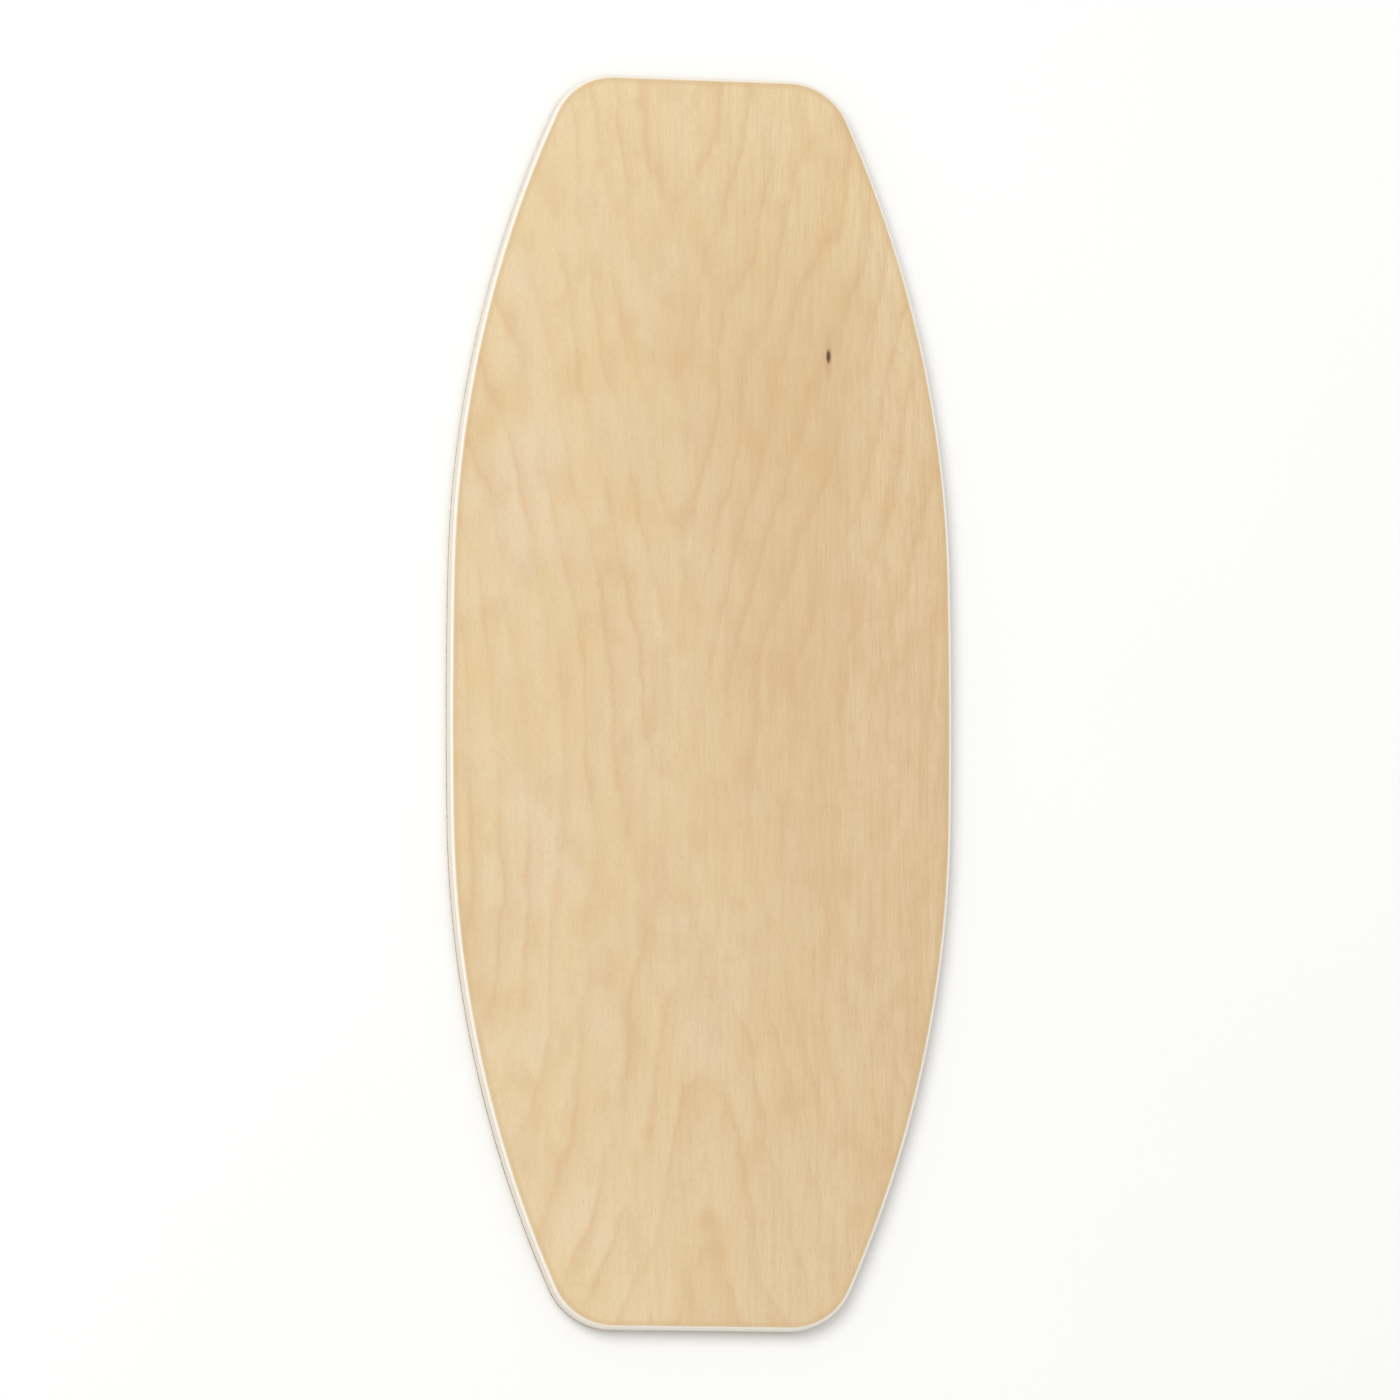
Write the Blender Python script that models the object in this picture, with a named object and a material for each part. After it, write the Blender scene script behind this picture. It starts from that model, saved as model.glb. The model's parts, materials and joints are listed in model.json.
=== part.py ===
"""A flat, double-ended balance board: nine birch veneers glued up crosswise, with a cork sheet on one side.

Run with: blender --background --python part.py
Metres, +Z up. The board lies flat on its cork, birch face up. Its length runs along X and its width
along Y, and the origin is the middle of the cork's underside.
"""

import bmesh
import bpy
from math import atan2, cos, hypot, pi, sin, sqrt

# Plan of the board
LENGTH = 0.790  # end to end
WIDTH = 0.320  # across the middle
END_WIDTH = 0.112  # straight part of each blunt end
CORNER_RADIUS = 0.042  # where an end turns into a flank
FLANK_RADIUS = 0.745  # the bowed part of each side, towards the ends
SIDE_RADIUS = 4.200  # the nearly straight part of each side, at the middle

# Thicknesses, from the floor up
CORK_THICKNESS = 0.0030
VENEER_THICKNESS = 0.00125
VENEER_COUNT = 9  # odd, so that both outer veneers run lengthwise
GLUE_LINE = 0.0001  # left open between two sheets

# Edges
EDGE_ROUND = 0.0030  # quarter round run along the birch side
CORK_EASE = 0.0004  # the cork's lower edge, broken with abrasive paper

# How finely the curves are cut, in straight steps
SIDE_STEPS = 3
FLANK_STEPS = 22
CORNER_STEPS = 14
ROUND_STEPS = 8  # over the whole quarter round
EASE_STEPS = 2
SHARP_ANGLE = 0.5  # radians: an edge turned by more than this is shaded as a corner

BOARD_TOP = CORK_THICKNESS + VENEER_COUNT * (GLUE_LINE + VENEER_THICKNESS)

# Colours are linear RGB
FACE_BIRCH = (0.77, 0.57, 0.34)
LONG_BIRCH = (0.80, 0.66, 0.46)
CROSS_BIRCH = (0.72, 0.55, 0.36)
CORK = (0.30, 0.21, 0.10)
BIRCH_ROUGHNESS = 0.5  # satin lacquer
CORK_ROUGHNESS = 0.85  # bare


def clear_scene():
    """Remove what the scene starts with."""
    for obj in list(bpy.data.objects):
        bpy.data.objects.remove(obj, do_unlink=True)


def make_material(name, colour, roughness):
    """A plain Principled BSDF in one colour."""
    material = bpy.data.materials.new(name)
    material.use_nodes = True
    shader = material.node_tree.nodes["Principled BSDF"]
    shader.inputs["Base Color"].default_value = (*colour, 1.0)
    shader.inputs["Roughness"].default_value = roughness
    shader.inputs["Metallic"].default_value = 0.0
    material.diffuse_color = (*colour, 1.0)
    return material


def flank_centre(side_centre, corner_centre):
    """The centre of the flank's circle, which touches the side's circle and the corner's from inside."""
    from_side = SIDE_RADIUS - FLANK_RADIUS
    from_corner = FLANK_RADIUS - CORNER_RADIUS
    along = corner_centre[0] - side_centre[0]
    up = corner_centre[1] - side_centre[1]
    apart = hypot(along, up)
    reach = (from_side**2 - from_corner**2 + apart**2) / (2 * apart)
    off = sqrt(from_side**2 - reach**2)
    x = side_centre[0] + (along * reach - up * off) / apart
    y = side_centre[1] + (up * reach + along * off) / apart
    return x, y


def arc_points(centre, radius, start, end, steps):
    """Points of an arc, its first left out.

    start and end are the angles that the arc has turned from the side's direction.
    """
    points = []
    for step in range(1, steps + 1):
        turned = start + (end - start) * step / steps
        points.append((centre[0] + radius * sin(turned), centre[1] + radius * cos(turned)))
    return points


def quarter_outline(inset):
    """One quarter of the plan, from the middle of a side to the corner of an end, moved in by inset.

    Three arcs meet with a shared tangent: side, flank and corner.
    """
    side_centre = (0.0, WIDTH / 2 - SIDE_RADIUS)
    corner_centre = (LENGTH / 2 - CORNER_RADIUS, END_WIDTH / 2)
    centre = flank_centre(side_centre, corner_centre)
    side_turn = atan2(centre[0] - side_centre[0], centre[1] - side_centre[1])
    flank_turn = atan2(corner_centre[0] - centre[0], corner_centre[1] - centre[1])
    points = [(0.0, WIDTH / 2 - inset)]
    points += arc_points(side_centre, SIDE_RADIUS - inset, 0.0, side_turn, SIDE_STEPS)
    points += arc_points(centre, FLANK_RADIUS - inset, side_turn, flank_turn, FLANK_STEPS)
    points += arc_points(corner_centre, CORNER_RADIUS - inset, flank_turn, pi / 2, CORNER_STEPS)
    return points


def full_outline(inset):
    """The whole plan, anticlockwise seen from above, without doubled points."""
    quarter = quarter_outline(inset)
    lower_right = [(x, -y) for x, y in quarter]
    upper_right = [(x, y) for x, y in reversed(quarter)]
    upper_left = [(-x, y) for x, y in quarter[1:]]
    lower_left = [(-x, -y) for x, y in reversed(quarter[1:])]
    return lower_right + upper_right + upper_left + lower_left


def edge_inset(height):
    """How far the quarter round has cut in at this height above the floor."""
    into_round = height - (BOARD_TOP - EDGE_ROUND)
    if into_round <= 0:
        return 0.0
    return EDGE_ROUND - sqrt(max(EDGE_ROUND**2 - into_round**2, 0.0))


def veneer_levels(low, high):
    """(height, inset) of each ring of a veneer's edge, from its lower face to its upper."""
    heights = [low]
    for step in range(ROUND_STEPS):
        height = BOARD_TOP - EDGE_ROUND + EDGE_ROUND * sin(step / ROUND_STEPS * pi / 2)
        if low < height < high:
            heights.append(height)
    heights.append(high)
    return [(height, edge_inset(height)) for height in heights]


def cork_levels():
    """(height, inset) of each ring of the cork's edge, with its lower edge broken."""
    levels = []
    for step in range(EASE_STEPS + 1):
        turned = step / EASE_STEPS * pi / 2
        levels.append((CORK_EASE * (1 - sin(turned)), CORK_EASE * (1 - cos(turned))))
    return levels[::-1] + [(CORK_THICKNESS, 0.0)]


def make_sheet(name, levels, material):
    """A closed sheet in the board's outline, from rings at the given heights and insets."""
    mesh = bpy.data.meshes.new(name)
    form = bmesh.new()
    rings = []
    for height, inset in levels:
        rings.append([form.verts.new((x, y, height)) for x, y in full_outline(inset)])
    form.faces.new(reversed(rings[0]))
    form.faces.new(rings[-1])
    for lower, upper in zip(rings, rings[1:]):
        count = len(lower)
        for i in range(count):
            after = (i + 1) % count
            form.faces.new((lower[i], lower[after], upper[after], upper[i]))
    bmesh.ops.recalc_face_normals(form, faces=form.faces)
    form.to_mesh(mesh)
    form.free()
    mesh.shade_smooth()
    mesh.set_sharp_from_angle(angle=SHARP_ANGLE)
    mesh.materials.append(material)
    sheet = bpy.data.objects.new(name, mesh)
    bpy.context.scene.collection.objects.link(sheet)
    return sheet


def make_cork_sheet():
    """The agglomerated cork, trimmed flush with the wood."""
    return make_sheet("cork_sheet", cork_levels(), make_material("cork_sheet", CORK, CORK_ROUGHNESS))


def veneer_name(number):
    """The name of a veneer counted from the cork up."""
    if number == 0:
        return "back_veneer"
    if number == VENEER_COUNT - 1:
        return "face_veneer"
    return f"core_veneer_{number}"


def make_veneers():
    """The veneers from the cork up, each with its grain across that of the one below."""
    sheets = []
    for number in range(VENEER_COUNT):
        low = CORK_THICKNESS + GLUE_LINE + number * (VENEER_THICKNESS + GLUE_LINE)
        name = veneer_name(number)
        colour = LONG_BIRCH if number % 2 == 0 else CROSS_BIRCH
        if name == "face_veneer":
            colour = FACE_BIRCH
        levels = veneer_levels(low, low + VENEER_THICKNESS)
        sheets.append(make_sheet(name, levels, make_material(name, colour, BIRCH_ROUGHNESS)))
    return sheets


def main():
    clear_scene()
    board = bpy.data.objects.new("balance_board", None)
    bpy.context.scene.collection.objects.link(board)
    for sheet in [make_cork_sheet(), *make_veneers()]:
        sheet.parent = board


main()
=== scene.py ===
# %% [markdown]
# # A balance board in birch and cork
#
# The real object is a flat board that a person stands on and tilts. It is nine sheets of birch
# veneer, glued up with their grain crossed and cut to a barrel-shaped plan, with a sheet of cork
# on one side. The measured solids come ready made. This lesson gives them the surfaces that the
# hand and the eye know: sanded face veneer, a pale routed edge with its glue lines, and cork.

# %% Load the measured solids
import json
from math import degrees, radians

import bmesh
import bpy
from mathutils import Matrix, Vector

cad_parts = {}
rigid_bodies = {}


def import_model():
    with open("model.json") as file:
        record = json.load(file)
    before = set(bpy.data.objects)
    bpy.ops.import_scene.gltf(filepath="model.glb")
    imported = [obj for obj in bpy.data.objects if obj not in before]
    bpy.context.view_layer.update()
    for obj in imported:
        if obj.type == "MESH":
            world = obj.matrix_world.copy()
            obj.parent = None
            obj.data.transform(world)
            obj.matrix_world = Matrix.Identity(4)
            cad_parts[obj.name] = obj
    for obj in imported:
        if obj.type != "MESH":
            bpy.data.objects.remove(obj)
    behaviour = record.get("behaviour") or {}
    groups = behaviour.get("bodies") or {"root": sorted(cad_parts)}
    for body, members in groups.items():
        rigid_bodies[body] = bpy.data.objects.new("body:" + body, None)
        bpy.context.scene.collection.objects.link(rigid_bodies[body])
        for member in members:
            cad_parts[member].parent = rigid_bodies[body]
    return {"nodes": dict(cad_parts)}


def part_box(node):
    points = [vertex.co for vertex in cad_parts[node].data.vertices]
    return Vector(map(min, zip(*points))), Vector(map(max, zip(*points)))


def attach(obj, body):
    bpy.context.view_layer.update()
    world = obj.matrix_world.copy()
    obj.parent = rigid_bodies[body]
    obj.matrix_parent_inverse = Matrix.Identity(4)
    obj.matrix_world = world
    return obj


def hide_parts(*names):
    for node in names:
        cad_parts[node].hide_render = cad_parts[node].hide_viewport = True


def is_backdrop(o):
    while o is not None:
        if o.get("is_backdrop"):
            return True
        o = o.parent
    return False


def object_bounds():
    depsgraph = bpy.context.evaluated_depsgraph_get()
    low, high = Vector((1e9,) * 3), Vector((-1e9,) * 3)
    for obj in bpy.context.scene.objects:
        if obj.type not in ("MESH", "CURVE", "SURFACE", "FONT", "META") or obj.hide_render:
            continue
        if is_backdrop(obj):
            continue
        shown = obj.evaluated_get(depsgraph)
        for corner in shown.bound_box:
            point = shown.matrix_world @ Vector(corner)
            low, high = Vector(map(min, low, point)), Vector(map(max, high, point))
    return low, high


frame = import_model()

MM = 0.001
cad_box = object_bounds()
low, high = (Vector(corner) for corner in cad_box)
print("the solids measure", [round(side / MM, 2) for side in high - low], "mm")

# %% [markdown]
# The board is lying on its cork with the birch face up. Its length runs along X, so the sheets
# can be told apart by height alone: the cork first, then the veneers from the cork up. Heights are
# read from the solids and not written down, so the lesson still holds if a sheet gets thicker.

# %% Sort the sheets by height
sheets = sorted(frame["nodes"], key=lambda node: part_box(node)[0].z)
veneers = sheets[1:]
length = high.x - low.x
board_top = high.z
first_veneer_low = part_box(veneers[0])[0].z
veneer_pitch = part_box(veneers[1])[0].z - first_veneer_low
glue_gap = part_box(veneers[1])[0].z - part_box(veneers[0])[1].z
print("from the floor up:", sheets)
print("veneer pitch", round(veneer_pitch / MM, 3), "mm, glue line", round(glue_gap / MM, 3), "mm")

# %% [markdown]
# The camera comes before the surfaces, because it decides how fine they have to be. The board is
# seen from almost straight above, with its length upright. The camera stands well back with a long
# lens, a little to the left and below, so a narrow strip of the left edge shows. It could be aimed
# with a constraint, but three directions written as a matrix say plainly which way is up.

# %% Set the camera
VIEW_LEFT = 0.185  # metres to the left for each metre of height
VIEW_BELOW = 0.130  # metres towards the near end for each metre of height
CAMERA_HEIGHT = 6.0
CAMERA_SEES_TO = 50.0
SENSOR = 36.0  # mm
VIEW_OVER_BOARD = 1.11  # how much longer the view is than the board

centre = Vector((0.0, 0.0, board_top / 2))
# In this view +Y is on the left, and -X is at the bottom.
eye = centre + CAMERA_HEIGHT * Vector((-VIEW_BELOW, VIEW_LEFT, 1.0))
back = (eye - centre).normalized()
across = Vector((1.0, 0.0, 0.0)).cross(back).normalized()
upright = back.cross(across)

camera_data = bpy.data.cameras.new("camera")
camera_data.sensor_width = SENSOR
camera_data.lens = SENSOR * (eye - centre).length / (length * VIEW_OVER_BOARD)
camera_data.clip_end = CAMERA_SEES_TO
camera = bpy.data.objects.new("camera", camera_data)
bpy.context.scene.collection.objects.link(camera)
camera.matrix_world = Matrix.LocRotScale(eye, Matrix((across, upright, back)).transposed(), None)
bpy.context.scene.camera = camera
print("lens", round(camera_data.lens), "mm, tilt", round(degrees(back.angle((0, 0, 1))), 1), "degrees")

# %% [markdown]
# Colours are picked as sRGB hex, as a colour picker shows them, and Blender works in linear light.
# One function turns the one into the other. Another adds any shader node, with its settings and
# with its inputs set or linked, so each material below reads as a list of steps.
#
# A natural surface is one base colour, pulled a little way towards others here and there. That step
# comes up again and again, so it has a function too. Where it happens is a mask: a number from 0,
# not here, to 1, all the way.

# %% Colour and node helpers
def paint(hex_colour):
    """Linear RGBA of an sRGB hex colour."""
    linear = []
    for place in (0, 2, 4):
        value = int(hex_colour[place : place + 2], 16) / 255
        linear.append(value / 12.92 if value <= 0.04045 else ((value + 0.055) / 1.055) ** 2.4)
    return (*linear, 1.0)


def feed(node, inputs):
    """Set a node's inputs, or link them where given a socket, or a node for its first output."""
    for name, value in inputs.items():
        if isinstance(value, bpy.types.Node):
            value = value.outputs[0]
        if isinstance(value, bpy.types.NodeSocket):
            node.id_data.links.new(value, node.inputs[name])
        else:
            node.inputs[name].default_value = value


def add(tree, kind, inputs, **settings):
    """A node of this kind, with its settings made and its inputs fed."""
    node = tree.nodes.new("ShaderNode" + kind)
    for name, value in settings.items():
        setattr(node, name, value)
    feed(node, inputs)
    return node


def pull(tree, colour, towards, most, *masks):
    """colour pulled towards another, by this share where the masks are all 1."""
    share = most
    for mask in masks:
        share = add(tree, "Math", {0: share, 1: mask}, operation="MULTIPLY", use_clamp=True)
    mixed = add(tree, "Mix", {"Factor": share, 6: colour, 7: towards}, data_type="RGBA")
    return mixed.outputs[2]


def new_material(name):
    """An empty material, the node tree to build in and its Principled shader."""
    material = bpy.data.materials.new(name)
    material.use_nodes = True
    return material, material.node_tree, material.node_tree.nodes["Principled BSDF"]


print("a mid grey of 808080 is", round(paint("808080")[0], 3), "in linear light")

# %% [markdown]
# ## Sanded rotary-cut birch
#
# Face veneer is peeled from a turning log, as paper comes off a roll. The knife wanders in and out
# of the growth rings, so their edges show as long nested loops and wandering lines, a little browner
# than the wood between. Birch has no open pores to speak of. What is left is a fine lengthwise
# streak and a cloudy mottle where the fibres lean. All of it is faint: a few parts in a hundred.
#
# The rings are the level lines of one smooth field, as on a map of hills. A saddle gives loops that
# come in from both ends and run out straight at the sides. Noise then pushes them about three times:
# over a hand's breadth, over a finger's length, and last over a fingernail's, so that they lick like
# flames. A wave texture would be shorter to write, but its stripes are more even than peeled wood.

# %% Growth rings
RINGS_ACROSS = 50.0  # ring edges in a metre of width, away from the middle
RINGS_ALONG = 12.0  # ring edges in a metre of length, along the middle
SADDLE = Vector((-0.085, 0.010))  # where the loops from the two ends meet back to back
ROUNDNESS = Vector((0.060, 0.022))  # how soon a loop turns, in metres
RING_PUSHES = (  # noise cells in a metre of X, Y and Z, how many rings they push, their detail
    ((3.0, 9.0, 1.0), 4.5, 1.0),
    ((13.0, 30.0, 1.0), 0.95, 2.0),
    ((48.0, 75.0, 1.0), 0.35, 2.0),
)
RING_PROFILE = (  # place between two ring edges, and how brown the wood is there
    (0.0, 0.45),
    (0.10, 0.0),
    (0.50, 0.08),
    (0.80, 0.45),
    (0.93, 1.0),
    (1.0, 0.45),
)


def fill_ramp(ramp, stops):
    """Give a ramp these (position, colour) stops, from 0 to 1."""
    ramp.elements[0].color, ramp.elements[1].color = stops[0][1], stops[-1][1]
    for position, colour in stops[1:-1]:
        ramp.elements.new(position).color = colour


def bowl(tree, value, middle, roundness, steepness):
    """Distance from the middle, rounded off at the bottom, times a steepness."""
    off = add(tree, "Math", {0: value, 1: middle}, operation="SUBTRACT")
    squared = add(tree, "Math", {0: off, 1: off, 2: roundness**2}, operation="MULTIPLY_ADD")
    root = add(tree, "Math", {0: squared}, operation="SQRT")
    return add(tree, "Math", {0: root, 1: steepness}, operation="MULTIPLY")


def plus_noise(tree, field, place, cells, height, detail):
    """The field, with noise of this height added, in this many cells a metre each way."""
    form = add(tree, "Mapping", {"Vector": place, "Scale": cells})
    noise = add(tree, "TexNoise", {"Vector": form, "Scale": 1.0, "Detail": detail})
    return add(tree, "Math", {0: noise, 1: height, 2: field}, operation="MULTIPLY_ADD")


def growth_rings(tree, place):
    """A mask that peaks on each ring edge and fades off on its outer side."""
    apart = add(tree, "SeparateXYZ", {"Vector": place})
    sides = bowl(tree, apart.outputs["Y"], SADDLE.y, ROUNDNESS.y, RINGS_ACROSS)
    ends = bowl(tree, apart.outputs["X"], SADDLE.x, ROUNDNESS.x, RINGS_ALONG)
    field = add(tree, "Math", {0: sides, 1: ends}, operation="SUBTRACT")
    for cells, height, detail in RING_PUSHES:
        field = plus_noise(tree, field, place, cells, height, detail)
    phase = add(tree, "Math", {0: field}, operation="FRACT")
    profile = add(tree, "ValToRGB", {"Fac": phase})
    fill_ramp(profile.color_ramp, [(at, (brown, brown, brown, 1.0)) for at, brown in RING_PROFILE])
    return profile


print("a ring edge about every", round(1000 / RINGS_ACROSS), "mm across, before it wanders")

# %% [markdown]
# One pin knot shows, where a twig too thin to leave a ring was peeled through. It is a dark
# spindle, drawn out along the grain, and it stains the wood a little way beyond. It could be
# painted by hand, but a distance that counts less along the grain gives both shapes, and the
# knot can then be moved by changing one line.

# %% Where the pin knot is
KNOT = Vector((0.219, -0.081, board_top))
KNOT_LENGTH = 8.8 * MM
KNOT_WIDTH = 3.2 * MM
STAIN_LENGTH = 44 * MM
STAIN_WIDTH = 6 * MM


def knot_distance(tree, place, length_of_one, width_of_one):
    """How far from the knot, where 1 is the edge of a spindle this long and wide."""
    moved = add(tree, "VectorMath", {0: place, 1: KNOT}, operation="SUBTRACT")
    sizes = (2 / length_of_one, 2 / width_of_one, 0.0)
    sized = add(tree, "VectorMath", {0: moved, 1: sizes}, operation="MULTIPLY")
    return add(tree, "VectorMath", {0: sized}, operation="LENGTH").outputs["Value"]


print("pin knot", KNOT_LENGTH / MM, "by", KNOT_WIDTH / MM, "mm at", [round(v, 3) for v in KNOT])

# %% [markdown]
# ## The routed edge
#
# At the edge the router cuts every second veneer across its fibres and the others along them.
# Cut fibre ends drink more sealer and look a little darker and speckled, and fibres cut lengthwise
# look pale and streaked. Both colours are near white, lighter than birch's own cut edge: partly
# pale cut wood, partly a painted highlight. Faces could be sorted by hand into the one kind and the
# other, but the change would show as a step. One rule gives both, all round the board: colour
# follows how squarely the wall faces the grain, and the streaks are drawn out along the grain in
# three dimensions.

# %% Colour of a veneer's cut edge
GRAIN_ALONG_X = (1.0, 0.0, 0.0)
GRAIN_ALONG_Y = (0.0, 1.0, 0.0)
# These edge colours are near white: partly the pale cut birch, partly a painted highlight.
SIDE_GRAIN_AND_HIGHLIGHT = paint("f6f4ec")
SIDE_STREAK_AND_HIGHLIGHT = paint("eeeadd")
END_GRAIN_AND_HIGHLIGHT = paint("e9e0cb")
END_GRAIN_SPECK = paint("d5c4a3")
FIBRES_ACROSS = 3600.0  # bundles in a metre: real fibres are a tenth as wide and would not show
FIBRES_ALONG = 45.0


def cut_edge(tree, place, normal, grain):
    """The colour of a cut veneer whose grain runs this way, and the mask of its streaks."""
    cells = [FIBRES_ACROSS + (FIBRES_ALONG - FIBRES_ACROSS) * part for part in grain]
    form = add(tree, "Mapping", {"Vector": place, "Scale": cells})
    fibres = add(tree, "TexNoise", {"Vector": form, "Scale": 1.0, "Detail": 2.0, "Roughness": 0.6})
    streak = add(tree, "MapRange", {"Value": fibres, "From Min": 0.35, "From Max": 0.72})
    side = pull(tree, SIDE_GRAIN_AND_HIGHLIGHT, SIDE_STREAK_AND_HIGHLIGHT, 1.0, streak)
    end = pull(tree, END_GRAIN_AND_HIGHLIGHT, END_GRAIN_SPECK, 1.0, streak)
    facing = add(tree, "VectorMath", {0: normal, 1: grain}, operation="DOT_PRODUCT")
    squarely = add(tree, "Math", {0: facing.outputs["Value"], 1: 2.0}, operation="POWER")
    return pull(tree, side, end, 1.0, squarely), streak


bundle = (round(1000 / FIBRES_ACROSS, 2), round(1000 / FIBRES_ALONG))
print("fibre bundles", bundle[0], "mm wide and", bundle[1], "mm long")

# %% [markdown]
# Each veneer came from another part of the log, so each is a shade lighter or darker. Its number,
# counted by its height, picks the shade, so two materials are enough for eight sheets: one for
# grain along the board and one for grain across it.

# %% The edge veneers' materials
DARKEST_SHEET = 0.965
LIGHTEST_SHEET = 1.01
BIRCH_IOR = 1.5


def shade_of_sheet(tree, place):
    """A factor near 1 that is the same all over one veneer."""
    apart = add(tree, "SeparateXYZ", {"Vector": place})
    start = first_veneer_low - glue_gap / 2
    up = add(tree, "Math", {0: apart.outputs["Z"], 1: start}, operation="SUBTRACT")
    count = add(tree, "Math", {0: up, 1: veneer_pitch}, operation="DIVIDE")
    number = add(tree, "Math", {0: count}, operation="FLOOR")
    pick = add(tree, "TexWhiteNoise", {"W": number}, noise_dimensions="1D")
    return add(tree, "MapRange", {"Value": pick, "To Min": DARKEST_SHEET, "To Max": LIGHTEST_SHEET})


def veneer_material(name, grain):
    """Birch veneer seen at its cut edge, sealed thinly: pale, dry to the eye, hardly glossy."""
    material, tree, shader = new_material(name)
    seen = add(tree, "TexCoord", {})
    place, normal = seen.outputs["Object"], seen.outputs["Normal"]
    colour, streak = cut_edge(tree, place, normal, grain)
    shade = shade_of_sheet(tree, place)
    groove = {"Height": streak, "Strength": 0.30, "Distance": 0.02 * MM}
    feed(shader, {
        "Base Color": add(tree, "VectorMath", {0: colour, "Scale": shade}, operation="SCALE"),
        "Roughness": add(tree, "MapRange", {"Value": streak, "To Min": 0.50, "To Max": 0.62}),
        "Normal": add(tree, "Bump", groove, invert=True),
        "IOR": BIRCH_IOR,
        "Coat Weight": 0.08,
        "Coat Roughness": 0.4,
    })
    return material


birch_long = veneer_material("birch_veneer_grain_lengthwise_sealed_edge", GRAIN_ALONG_X)
birch_cross = veneer_material("birch_veneer_grain_crosswise_sealed_edge", GRAIN_ALONG_Y)
print("veneer materials:", birch_long.name, birch_cross.name)

# %% [markdown]
# Now the face, which is mostly what is seen. A scanned sheet would be quicker, but its marks could
# not be moved or left out. Here every pattern is noise drawn out along the grain, and they differ
# only in size and in how much of the noise counts. The sizes are those of the real marks, from
# patches of warmer wood as long as a hand down to the short brown vessel lines.

# %% Patterns in the face veneer
# Each has its cells in a metre along and across the grain, its detail, and the range that counts.
CLOUDS = (13.0, 28.0, 4.0, 0.40, 0.60)  # where fibres lean, 77 by 36 mm
MOTTLE = (45.0, 120.0, 3.0, 0.36, 0.66)  # the same again, finer, 22 by 8 mm
AMBER_PATCHES = (7.0, 15.0, 2.0, 0.48, 0.68)  # warmer wood, 143 by 67 mm
BLOTCHES = (30.0, 55.0, 4.0, 0.50, 0.68)  # brown flecks, 33 by 18 mm
BROAD_STREAKS = (21.0, 210.0, 2.0, 0.46, 0.68)  # 48 by 5 mm
FINE_STREAKS = (60.0, 900.0, 3.0, 0.42, 0.68)  # 17 by 1 mm
VESSELS = (260.0, 5200.0, 2.0, 0.60, 0.70)  # 4 by 0.2 mm: twice as wide as real, so they show
RINGS_COME_AND_GO = (9.0, 20.0, 2.0, 0.33, 0.62)  # where ring edges are strong, 111 by 50 mm


def pattern(tree, place, kind):
    """A mask of one of the patterns above."""
    along, across_grain, detail, none_below, full_above = kind
    cells = (along, across_grain, across_grain)
    noise = plus_noise(tree, 0.0, place, cells, 1.0, detail)
    return add(tree, "MapRange", {"Value": noise, "From Min": none_below, "From Max": full_above})


print("widest pattern", round(1000 / AMBER_PATCHES[1]), "mm, finest", round(1000 / VESSELS[1], 2), "mm")

# %% [markdown]
# Under the patterns lie two slow changes. The ends are paler than the middle, and one long side is
# more streaked, as the log was not the same all round. That side, on the right as the board is seen,
# is also painted darker, except towards the far end: this is painted shade, on the side away from
# the lamp. Without these the sheet would look like a tile of something endless. The colours are
# then pulled about in order, the large and soft first and the small and dark last.

# %% Colour of the face veneer
HONEY = paint("e2c697")
MILKY = paint("e3cda8")
PALE_END = paint("edd7ac")
AMBER = paint("dcba88")
RING_BROWN = paint("d1a774")
STREAK_TAN = paint("cca87a")
STREAK_PALE = paint("e6cfa6")
PAINTED_SHADE_SIDE = paint("d6b78e")
VESSEL_BROWN = paint("b48d5c")
PALE_FROM, PALE_BY = 0.16, 0.38  # metres from the middle, where the ends begin to pale, and are
SHADY_FROM, SHADY_BY = 0.09, -0.15  # Y, where the shady side begins, and is full
LIGHT_BEYOND, SHADY_BELOW = 0.30, 0.0  # X, where the shady side stays light, and where it is full
LEAST_STREAKS = 0.25  # share of the streaks that the plain side keeps


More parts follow.
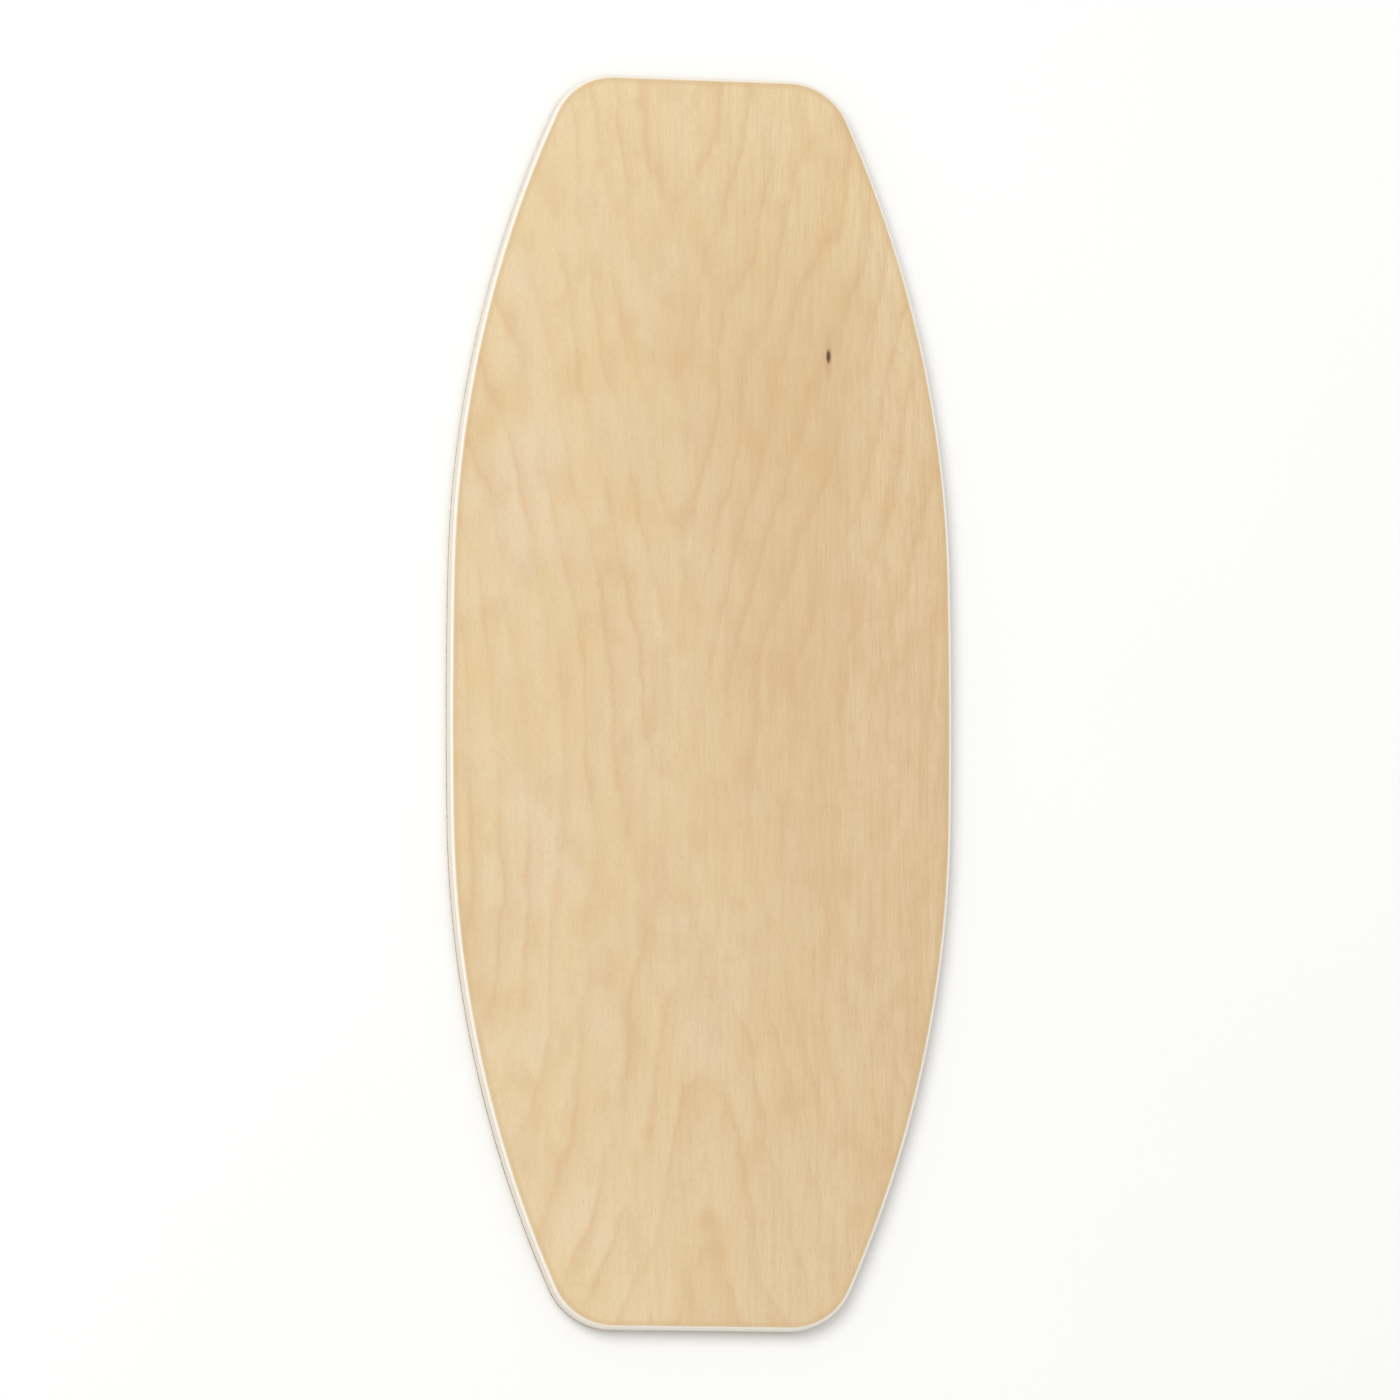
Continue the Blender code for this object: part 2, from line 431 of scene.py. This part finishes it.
def face_colour(tree, place, fine_streaks):
    """The honey colour of the flat, with everything that the peeled sheet shows."""
    apart = add(tree, "SeparateXYZ", {"Vector": place})
    along, sideways = apart.outputs["X"], apart.outputs["Y"]
    from_middle = add(tree, "Math", {0: along}, operation="ABSOLUTE")
    ends = add(tree, "MapRange", {"Value": from_middle, "From Min": PALE_FROM, "From Max": PALE_BY})
    shady = add(tree, "MapRange", {"Value": sideways, "From Min": SHADY_FROM, "From Max": SHADY_BY})
    lengthwise = {"Value": along, "From Min": LIGHT_BEYOND, "From Max": SHADY_BELOW}
    not_far = add(tree, "MapRange", lengthwise)
    streaked = add(tree, "MapRange", {"Value": shady, "To Min": LEAST_STREAKS})

    colour = HONEY
    for towards, most, *masks in (
        (MILKY, 0.85, pattern(tree, place, CLOUDS)),
        (AMBER, 0.45, pattern(tree, place, AMBER_PATCHES)),
        (PALE_END, 0.45, ends),
        # Painted shade: the long side away from the lamp is pulled darker, less so towards the far end.
        (PAINTED_SHADE_SIDE, 0.62, shady, not_far),
        (STREAK_PALE, 0.30, pattern(tree, place, MOTTLE)),
        (RING_BROWN, 0.24, pattern(tree, place, BLOTCHES)),
        (RING_BROWN, 0.42, growth_rings(tree, place), pattern(tree, place, RINGS_COME_AND_GO)),
        (STREAK_TAN, 0.30, pattern(tree, place, BROAD_STREAKS), streaked),
        (STREAK_TAN, 0.38, fine_streaks, streaked),
        (VESSEL_BROWN, 0.50, pattern(tree, place, VESSELS)),
    ):
        colour = pull(tree, colour, towards, most, *masks)
    return colour


print("honey is", [round(part, 3) for part in HONEY[:3]], "in linear light")

# %% [markdown]
# The honey colour belongs to the flat, where the veneer's own skin is under the lacquer. Where the
# router has rounded the edge it has cut through to paler wood, so the face colour gives way to the
# near-white edge colour as the surface turns away from straight up: partly that paler wood, partly
# a painted highlight along the rounded edge. The walls of the knot turn away too, so they are kept
# out of that. Stain and knot come last, over all the rest.

# %% The face veneer's material
RIM_PAINTED_SHADE = paint("cda976")
KNOT_DARK = paint("5f4022")
KNOT_STAIN = paint("b98f5c")
EDGE_ONLY, FLAT_ONLY = 0.90, 0.998  # how far up the surface faces, where only one colour is left


def face_material():
    """Rotary-cut birch face, sanded fine under clear satin lacquer: honey, cloudy, faintly ringed."""
    material, tree, shader = new_material("birch_face_veneer_sanded_satin_lacquer")
    seen = add(tree, "TexCoord", {})
    place, normal = seen.outputs["Object"], seen.outputs["Normal"]
    fine = pattern(tree, place, FINE_STREAKS)
    rim = add(tree, "Attribute", {}, attribute_name="rim").outputs["Fac"]
    # Painted shade: the rim of the flat, next to the rounded edge, is pulled darker and fades inwards.
    on_flat = pull(tree, face_colour(tree, place, fine), RIM_PAINTED_SHADE, 0.38, rim)

    up = add(tree, "SeparateXYZ", {"Vector": normal}).outputs["Z"]
    faces_up = add(tree, "MapRange", {"Value": up, "From Min": EDGE_ONLY, "From Max": FLAT_ONLY})
    # These distances are 1 at the edge of the knot, or of its stain.
    to_knot = knot_distance(tree, place, KNOT_LENGTH, KNOT_WIDTH)
    to_stain = knot_distance(tree, place, STAIN_LENGTH, STAIN_WIDTH)
    by_knot = add(tree, "MapRange", {"Value": to_knot, "From Min": 1.4, "From Max": 1.3})
    in_knot = add(tree, "MapRange", {"Value": to_knot, "From Min": 1.25, "From Max": 0.55})
    in_stain = add(tree, "MapRange", {"Value": to_stain, "From Min": 1.0, "From Max": 0.05})
    is_flat = add(tree, "Math", {0: faces_up, 1: by_knot}, operation="MAXIMUM")

    on_edge, _ = cut_edge(tree, place, normal, GRAIN_ALONG_X)
    # Where the surface turns away from up, the colour goes to the near-white edge colour: paler cut
    # wood, and partly a painted highlight.
    colour = pull(tree, on_edge, on_flat, 1.0, is_flat)
    colour = pull(tree, colour, KNOT_STAIN, 0.50, in_stain)
    groove = {"Height": fine, "Strength": 0.25, "Distance": 0.02 * MM}
    feed(shader, {
        "Base Color": pull(tree, colour, KNOT_DARK, 1.0, in_knot),
        "Roughness": add(tree, "MapRange", {"Value": fine, "To Min": 0.40, "To Max": 0.50}),
        "Normal": add(tree, "Bump", groove, invert=True),
        "IOR": BIRCH_IOR,
        "Coat Weight": 0.12,
        "Coat Roughness": 0.3,
    })
    return material


birch_face = face_material()
print("face material has", len(birch_face.node_tree.nodes), "nodes")

# %% [markdown]
# ## Shaping the sheets
#
# The measured solids are loose triangles, which shade as flat facets. A copy of each is merged into
# one skin, its flat triangles are dissolved into whole faces, and it is shaded smooth round the
# curves and sharp at the arrises. The sheets could be drawn again from their sizes, but a copy
# can't differ from what was measured, and it is an ordinary mesh that can be worked on by hand.

# %% Merge a copy of a sheet
SAME_POINT = 0.002 * MM  # points closer than this are one
SAME_PLANE = radians(0.05)  # faces turned by less than this are one


def only(piece):
    """Select and activate this piece alone."""
    for other in bpy.context.view_layer.objects:
        other.select_set(False)
    piece.select_set(True)
    bpy.context.view_layer.objects.active = piece


def merged_copy(node, name):
    """A new piece in the shape of a measured solid, as one closed skin of whole faces."""
    mesh = frame["nodes"][node].data.copy()
    mesh.materials.clear()
    piece = bpy.data.objects.new(name, mesh)
    bpy.context.scene.collection.objects.link(piece)
    only(piece)
    bpy.ops.object.mode_set(mode="EDIT")
    bpy.ops.mesh.select_all(action="SELECT")
    bpy.ops.mesh.remove_doubles(threshold=SAME_POINT)
    bpy.ops.mesh.dissolve_limited(angle_limit=SAME_PLANE)
    bpy.ops.mesh.customdata_custom_splitnormals_clear()
    bpy.ops.object.mode_set(mode="OBJECT")
    return piece


loose = sum(len(frame["nodes"][node].data.polygons) for node in sheets)
print("the measured solids have", loose, "loose triangles")

# %% [markdown]
# A finished piece is shaded, gets its material and rides on the board's one body. The eight veneers
# under the face need no more than that: what shows of them is the cut edge, and the material does
# that.

# %% The eight veneers under the face
SHARP = radians(30)  # edges that turn by more than this are arrises


def finish_piece(piece, material):
    """Shade and dress a piece, and let it ride on the board's one body."""
    only(piece)
    bpy.ops.object.shade_smooth_by_angle(angle=SHARP)
    piece.data.materials.append(material)
    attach(piece, "root")
    print(piece.name, len(piece.data.polygons), "faces")


for number, node in enumerate(veneers[:-1]):
    veneer = merged_copy(node, node + "_sanded")
    finish_piece(veneer, birch_cross if number % 2 else birch_long)
    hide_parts(node)

# %% [markdown]
# The face veneer takes more work. A narrow inset round its flat keeps the smooth shading of the
# rounded edge from creeping into the flat. A wider one marks the rim, the last three millimetres of
# the flat before it rounds over, which is painted a shade darker: painted shade. The rim could be a
# second material, but an attribute on the points lets it fade inwards.

# %% The face veneer and its rim
SUPPORT = 0.4 * MM
RIM = 3.0 * MM
FACES_UP = 0.9999  # a flat face's normal points up by at least this
NEAR = 0.01 * MM  # and it lies this near the top


def select_faces(piece, wanted):
    """In edit mode, select the faces whose (centre, normal) pass the test, and count them."""
    bpy.ops.mesh.select_mode(type="FACE")
    bpy.ops.mesh.select_all(action="DESELECT")
    form = bmesh.from_edit_mesh(piece.data)
    found = [face for face in form.faces if wanted(face.calc_center_median(), face.normal)]
    for face in found:
        face.select_set(True)
    bmesh.update_edit_mesh(piece.data)
    return len(found)


face_node = veneers[-1]
face = merged_copy(face_node, face_node + "_sanded")
bpy.ops.object.mode_set(mode="EDIT")
select_faces(face, lambda middle, normal: normal.z > FACES_UP and middle.z > board_top - NEAR)
bpy.ops.mesh.inset(thickness=SUPPORT)
bpy.ops.mesh.inset(thickness=RIM)
inside_rim = {vertex.index for vertex in bmesh.from_edit_mesh(face.data).verts if vertex.select}
bpy.ops.object.mode_set(mode="OBJECT")
rim = face.data.attributes.new("rim", "FLOAT", "POINT")
for vertex in face.data.vertices:
    rim.data[vertex.index].value = 0.0 if vertex.index in inside_rim else 1.0
print("the rim is", RIM / MM, "mm wide, with", len(inside_rim), "points along its inner side")

# %% [markdown]
# The open heart of the pin knot is pressed in: a shallow spindle, made from a sphere drawn out
# along the grain and taken away with a Boolean. Bump alone would give the shading, but a real
# hollow keeps it in every light. Its border is marked sharp, so the flat round it stays flat.

# %% The pin knot's hollow
KNOT_DEPTH = 0.25 * MM
BELOW_TOP = 0.002 * MM  # the hollow's faces lie deeper than this

bpy.ops.mesh.primitive_uv_sphere_add(segments=24, ring_count=16, radius=1.0)
spindle = bpy.context.active_object
spindle.name = "pin_knot_cutter"
bpy.ops.object.mode_set(mode="EDIT")
bpy.ops.mesh.select_all(action="SELECT")
bpy.ops.transform.resize(value=(KNOT_LENGTH / 2, KNOT_WIDTH / 2, KNOT_DEPTH))
bpy.ops.transform.translate(value=KNOT)
bpy.ops.object.mode_set(mode="OBJECT")

only(face)
hollow = face.modifiers.new("pin_knot", "BOOLEAN")
hollow.object = spindle
hollow.operation = "DIFFERENCE"
bpy.ops.object.modifier_apply(modifier=hollow.name)
bpy.data.objects.remove(spindle)

bpy.ops.object.mode_set(mode="EDIT")
in_hollow = select_faces(
    face,
    lambda middle, _: (middle - KNOT).length < KNOT_LENGTH / 2 and middle.z < board_top - BELOW_TOP,
)
bpy.ops.mesh.region_to_loop()
bpy.ops.mesh.mark_sharp()
bpy.ops.object.mode_set(mode="OBJECT")
print("the knot's hollow has", in_hollow, "faces")
finish_piece(face, birch_face)
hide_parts(face_node)

# %% [markdown]
# ## Glue lines
#
# A tenth of a millimetre of glue joins each pair of sheets. At the edge it is a thin brownish
# line, set back a hair where sanding took the softer glue first. Painted lines would be quicker,
# but they would not follow the sheets when a thickness changes. So each is a copy of the top of
# the sheet below, drawn in a little and thickened to fill the gap.

# %% Glue films
GLUE_SET_BACK = 0.06 * MM
GLUE_CLEAR = 0.01 * MM  # left free above and below, so that no faces coincide
GLUE_POOLS = 90.0  # noise cells in a metre: pools 11 mm long


def glue_material():
    """Cured resin glue, squeezed thin and sanded through: tan, darker where it pooled."""
    material, tree, shader = new_material("cured_resin_glue_line")
    place = add(tree, "TexCoord", {}).outputs["Object"]
    noise = add(tree, "TexNoise", {"Vector": place, "Scale": GLUE_POOLS, "Detail": 2.0})
    pooled = add(tree, "MapRange", {"Value": noise, "From Min": 0.35, "From Max": 0.7})
    feed(shader, {
        "Base Color": pull(tree, paint("d9c49b"), paint("b08c5c"), 1.0, pooled),
        "Roughness": 0.45,
        "IOR": 1.55,
    })
    return material


def glue_film(below, above, name):
    """A thin film on top of one sheet, up to the next."""
    film = merged_copy(below, name)
    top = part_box(below)[1].z
    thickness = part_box(above)[0].z - top - 2 * GLUE_CLEAR
    bpy.ops.object.mode_set(mode="EDIT")
    select_faces(film, lambda middle, normal: normal.z > FACES_UP and middle.z > top - NEAR)
    bpy.ops.mesh.inset(thickness=GLUE_SET_BACK)
    bpy.ops.mesh.select_all(action="INVERT")
    bpy.ops.mesh.delete(type="FACE")
    bpy.ops.mesh.select_all(action="SELECT")
    bpy.ops.transform.translate(value=(0.0, 0.0, GLUE_CLEAR))
    bpy.ops.mesh.extrude_region_move(TRANSFORM_OT_translate={"value": (0.0, 0.0, thickness)})
    bpy.ops.mesh.select_all(action="SELECT")
    bpy.ops.mesh.normals_make_consistent(inside=False)
    bpy.ops.object.mode_set(mode="OBJECT")
    return film


glue = glue_material()
for number, (below, above) in enumerate(zip(sheets, sheets[1:]), start=1):
    finish_piece(glue_film(below, above, f"glue_line_{number}"), glue)

# %% [markdown]
# ## Agglomerated cork
#
# Sheet cork is bark ground to crumbs of a millimetre or two, pressed and glued, then sliced and
# sanded. Each crumb keeps its own brown. A few are pale and a few are nearly black, from the bark's
# outer skin, and there is a fine dark seam round each where the glue and the shadow sit. Noise
# alone gives clouds. Voronoi cells are crumbs already, once noise has made their straight sides
# ragged, and cells half the size fill some of the places, as in the real mix.

# %% Cork crumbs
CRUMB = 1.45 * MM
SMALLER = 2.1  # how many times smaller the small crumbs are
CRUMB_RAGGED = 0.0022  # how far noise pulls a crumb's outline about, in metres
RAGGED_CELLS = 900.0  # noise cells in a metre: 1.1 mm, so that an outline bends within one crumb
MIXED_CELLS = 420.0  # 2.4 mm, the places where small crumbs lie
CORK_BROWNS = (  # the share of crumbs that are darker, and the brown
    (0.0, paint("543f1d")),
    (0.07, paint("684f27")),
    (0.22, paint("876a3d")),
    (0.50, paint("9b7f51")),
    (0.76, paint("b09667")),
    (0.92, paint("c2aa7b")),
    (1.0, paint("dcc698")),
)


def cork_crumbs(tree, place):
    """Each crumb's brown, a random number for its height, and the distance to its seam."""
    jitter = add(tree, "TexNoise", {"Vector": place, "Scale": RAGGED_CELLS, "Detail": 1.0})
    ways = {"Factor": CRUMB_RAGGED, 4: place, 5: jitter.outputs["Color"]}
    bent = add(tree, "Mix", ways, data_type="VECTOR").outputs[1]
    cells = {"Vector": bent, "Scale": 1 / CRUMB}
    crumbs = add(tree, "TexVoronoi", cells)
    seams = add(tree, "TexVoronoi", cells, feature="DISTANCE_TO_EDGE")
    small = add(tree, "TexVoronoi", {"Vector": bent, "Scale": SMALLER / CRUMB})
    tone = add(tree, "SeparateColor", {"Color": crumbs.outputs["Color"]})
    small_tone = add(tree, "SeparateColor", {"Color": small.outputs["Color"]})
    patches = add(tree, "TexNoise", {"Vector": place, "Scale": MIXED_CELLS, "Detail": 1.0})
    is_small = add(tree, "MapRange", {"Value": patches, "From Min": 0.52, "From Max": 0.54})
    either = add(tree, "Mix", {"Factor": is_small, 2: tone, 3: small_tone})
    browns = add(tree, "ValToRGB", {"Fac": either})
    fill_ramp(browns.color_ramp, CORK_BROWNS)
    return browns, tone.outputs["Green"], seams


print("cork crumbs about", CRUMB / MM, "mm across, the small ones", round(CRUMB / MM / SMALLER, 2))

# %% [markdown]
# The underside carries a small maker's print near one end. Here it is two plain bars in black ink,
# which sits on the crumbs and misses the seams between them. They could be thin pieces laid on the
# cork, but ink has no thickness to model, so it is part of the cork's material.

# %% The printed mark
INK = paint("191511")
PRINTED_BELOW = 0.3 * MM  # ink is only on what lies lower than this
MARK_BARS = (  # centre along X, then half the height and half the width of each
    (low.x + 36.0 * MM, 1.7 * MM, 13.0 * MM),
    (low.x + 29.5 * MM, 1.7 * MM, 8.0 * MM),
)


def printed_bar(tree, place, middle, half_height, half_width):
    """Three masks that are all 1 inside one plain bar, which lies across the board."""
    apart = add(tree, "SeparateXYZ", {"Vector": place})
    along, sideways, up = (apart.outputs[axis] for axis in "XYZ")
    return (
        add(tree, "Math", {0: along, 1: middle, 2: half_height}, operation="COMPARE"),
        add(tree, "Math", {0: sideways, 1: 0.0, 2: half_width}, operation="COMPARE"),
        add(tree, "Math", {0: up, 1: PRINTED_BELOW}, operation="LESS_THAN"),
    )


print("printed bars", [round(2 * bar[2] / MM, 1) for bar in MARK_BARS], "mm wide")

# %% [markdown]
# Cork stays bare, so it is the dullest surface here. Grit from the sanding belt dusts it, slow
# clouds keep it from looking like a carpet, and the crumbs stand at slightly different heights,
# with the seams lowest.

# %% Cork material
GRIT = paint("7c6038")
CLOUD = paint("a88c5e")
SEAM = paint("5d4828")
GRIT_CELLS = 2600.0  # noise cells in a metre: 0.4 mm, the marks of a coarse belt
CLOUD_CELLS = 22.0  # 45 mm


def cork_material():
    """Fine agglomerated cork, sliced and sanded: a dry, dusty patchwork of brown crumbs, no gloss."""
    material, tree, shader = new_material("agglomerated_cork_sanded_bare")
    place = add(tree, "TexCoord", {}).outputs["Object"]
    colour, crumb_height, to_seam = cork_crumbs(tree, place)
    grit = add(tree, "TexNoise", {"Vector": place, "Scale": GRIT_CELLS, "Detail": 2.0})
    clouds = add(tree, "TexNoise", {"Vector": place, "Scale": CLOUD_CELLS, "Detail": 2.0})
    gritty = add(tree, "MapRange", {"Value": grit, "From Min": 0.45, "From Max": 0.8})
    cloudy = add(tree, "MapRange", {"Value": clouds, "From Min": 0.35, "From Max": 0.7})
    # Distances to the seam are in cells: a crumb reaches about half a cell out.
    in_seam = add(tree, "MapRange", {"Value": to_seam, "From Min": 0.07, "From Max": 0.0})
    on_crumb = add(tree, "MapRange", {"Value": to_seam, "From Min": -0.02, "From Max": 0.05})
    colour = pull(tree, colour, GRIT, 0.5, gritty)
    colour = pull(tree, colour, CLOUD, 0.25, cloudy)
    colour = pull(tree, colour, SEAM, 0.32, in_seam)
    for bar in MARK_BARS:
        colour = pull(tree, colour, INK, 0.94, on_crumb, *printed_bar(tree, place, *bar))

    out_of_seam = add(tree, "MapRange", {"Value": to_seam, "From Max": 0.12})
    relief = {0: crumb_height, 1: 0.4, 2: out_of_seam}
    height = add(tree, "Math", relief, operation="MULTIPLY_ADD")
    feed(shader, {
        "Base Color": colour,
        "Roughness": add(tree, "MapRange", {"Value": grit, "To Min": 0.78, "To Max": 0.95}),
        "Normal": add(tree, "Bump", {"Height": height, "Strength": 0.7, "Distance": 0.12 * MM}),
        "IOR": 1.45,
    })
    return material


cork = cork_material()
print("cork material has", len(cork.node_tree.nodes), "nodes")

# %% [markdown]
# Where the cork was trimmed flush with the wood, whole crumbs tore out and left pits, so its cut
# edge isn't a clean wall. Bump would leave its outline clean, so the mesh itself has to give. First
# the wall of the copy is divided until no step is longer than a crumb.

# %% Divide the cork's wall
STEP = 0.8 * MM
LEVEL = 0.001 * MM  # an edge that climbs less than this lies level
TALL = 1.5 * MM  # only the wall has edges that climb more than this
WALL_CUTS = 3


def select_edges(piece, wanted):
    """In edit mode, select the edges whose two ends pass the test, and count them."""
    bpy.ops.mesh.select_mode(type="EDGE")
    bpy.ops.mesh.select_all(action="DESELECT")
    form = bmesh.from_edit_mesh(piece.data)
    found = [edge for edge in form.edges if wanted(edge.verts[0].co, edge.verts[1].co)]
    for edge in found:
        edge.select_set(True)
    bmesh.update_edit_mesh(piece.data)
    return len(found)


cork_node = sheets[0]
cork_sheet = merged_copy(cork_node, cork_node + "_trimmed")
bpy.ops.object.mode_set(mode="EDIT")
while select_edges(cork_sheet, lambda a, b: abs(a.z - b.z) < LEVEL and (a - b).length > STEP):
    bpy.ops.mesh.subdivide(number_cuts=1)
select_edges(cork_sheet, lambda a, b: abs(a.z - b.z) > TALL)
bpy.ops.mesh.subdivide(number_cuts=WALL_CUTS)
bpy.ops.object.mode_set(mode="OBJECT")
print("the divided cork has", len(cork_sheet.data.vertices), "points")

# %% [markdown]
# A cell pattern of crumb size then presses the wall in, up to a quarter of a millimetre. It is
# clamped, since it can pass 1 and would then push outwards: the sheet must never grow. The points
# next to the two flats stay put, so the cork still meets the wood and the floor cleanly.

# %% Press the crumbs in
PIT = 0.28 * MM
KEEP = 0.05 * MM  # points this near a flat stay put

cork_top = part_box(cork_node)[1].z
wall = cork_sheet.vertex_groups.new(name="cut_wall")
between = [v.index for v in cork_sheet.data.vertices if KEEP < v.co.z < cork_top - KEEP]
wall.add(between, 1.0, "REPLACE")
crumb_cells = bpy.data.textures.new("cork_crumbs", "VORONOI")
crumb_cells.noise_scale = CRUMB
crumb_cells.distance_metric = "DISTANCE"
crumb_cells.use_clamp = True
press = cork_sheet.modifiers.new("crumbled_edge", "DISPLACE")
press.texture = crumb_cells
press.texture_coords = "LOCAL"
press.vertex_group = wall.name
press.mid_level = 1.0
press.strength = PIT
only(cork_sheet)
bpy.ops.object.modifier_apply(modifier=press.name)
print(len(between), "points of the wall pressed in by up to", PIT / MM, "mm")
finish_piece(cork_sheet, cork)
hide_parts(cork_node)

# %% [markdown]
# ## Studio
#
# A plain pale floor, and soft light from the upper left with an even white surround to fill the
# shadows. Several lamps could do the same, but one large one gives the board a single thin shadow,
# soft, to the right and below.

# %% Floor and light
FLOOR_SIZE = 12.0
LAMP_SIZE = 3.4
LAMP_POWER = 134.0  # W
LAMP_PLACE = Vector((1.7, 2.1, 5.0))
SURROUND = 0.71
WHITE = (1.0, 1.0, 1.0, 1.0)
FLOOR_CELLS = 3.0  # a metre of floor has three clouds, hardly seen

bpy.ops.mesh.primitive_plane_add(size=FLOOR_SIZE, location=(0.0, 0.0, low.z))
floor = bpy.context.active_object
floor.name = "studio_floor"
floor_paint, tree, shader = new_material("matt_white_studio_board")
floor_place = add(tree, "TexCoord", {}).outputs["Object"]
speck = add(tree, "TexNoise", {"Vector": floor_place, "Scale": FLOOR_CELLS})
tone = pull(tree, paint("fbfbfa"), paint("f9f9f8"), 1.0, speck)
feed(shader, {"Base Color": tone, "Roughness": 0.9})
floor.data.materials.append(floor_paint)
floor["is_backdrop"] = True

lamp_data = bpy.data.lights.new("soft_lamp", "AREA")
lamp_data.shape = "DISK"
lamp_data.size = LAMP_SIZE
lamp_data.energy = LAMP_POWER
lamp = bpy.data.objects.new("soft_lamp", lamp_data)
bpy.context.scene.collection.objects.link(lamp)
lamp.location = LAMP_PLACE
lamp.rotation_euler = (LAMP_PLACE - centre).to_track_quat("Z", "Y").to_euler()

world = bpy.data.worlds.new("white_surround")
world.use_nodes = True
feed(world.node_tree.nodes["Background"], {"Color": WHITE, "Strength": SURROUND})
bpy.context.scene.world = world
bpy.context.scene.view_settings.view_transform = "Standard"
print("lamp", LAMP_POWER, "W, surround", SURROUND)

# %% [markdown]
# Last, the finished board is measured against the solids it started from.

# %% Measure and finish
new_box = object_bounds()
growth = [round((after - before) / MM, 3) for before, after in zip(cad_box[1], new_box[1])]
print("the board grew by", growth, "mm at its high corner")
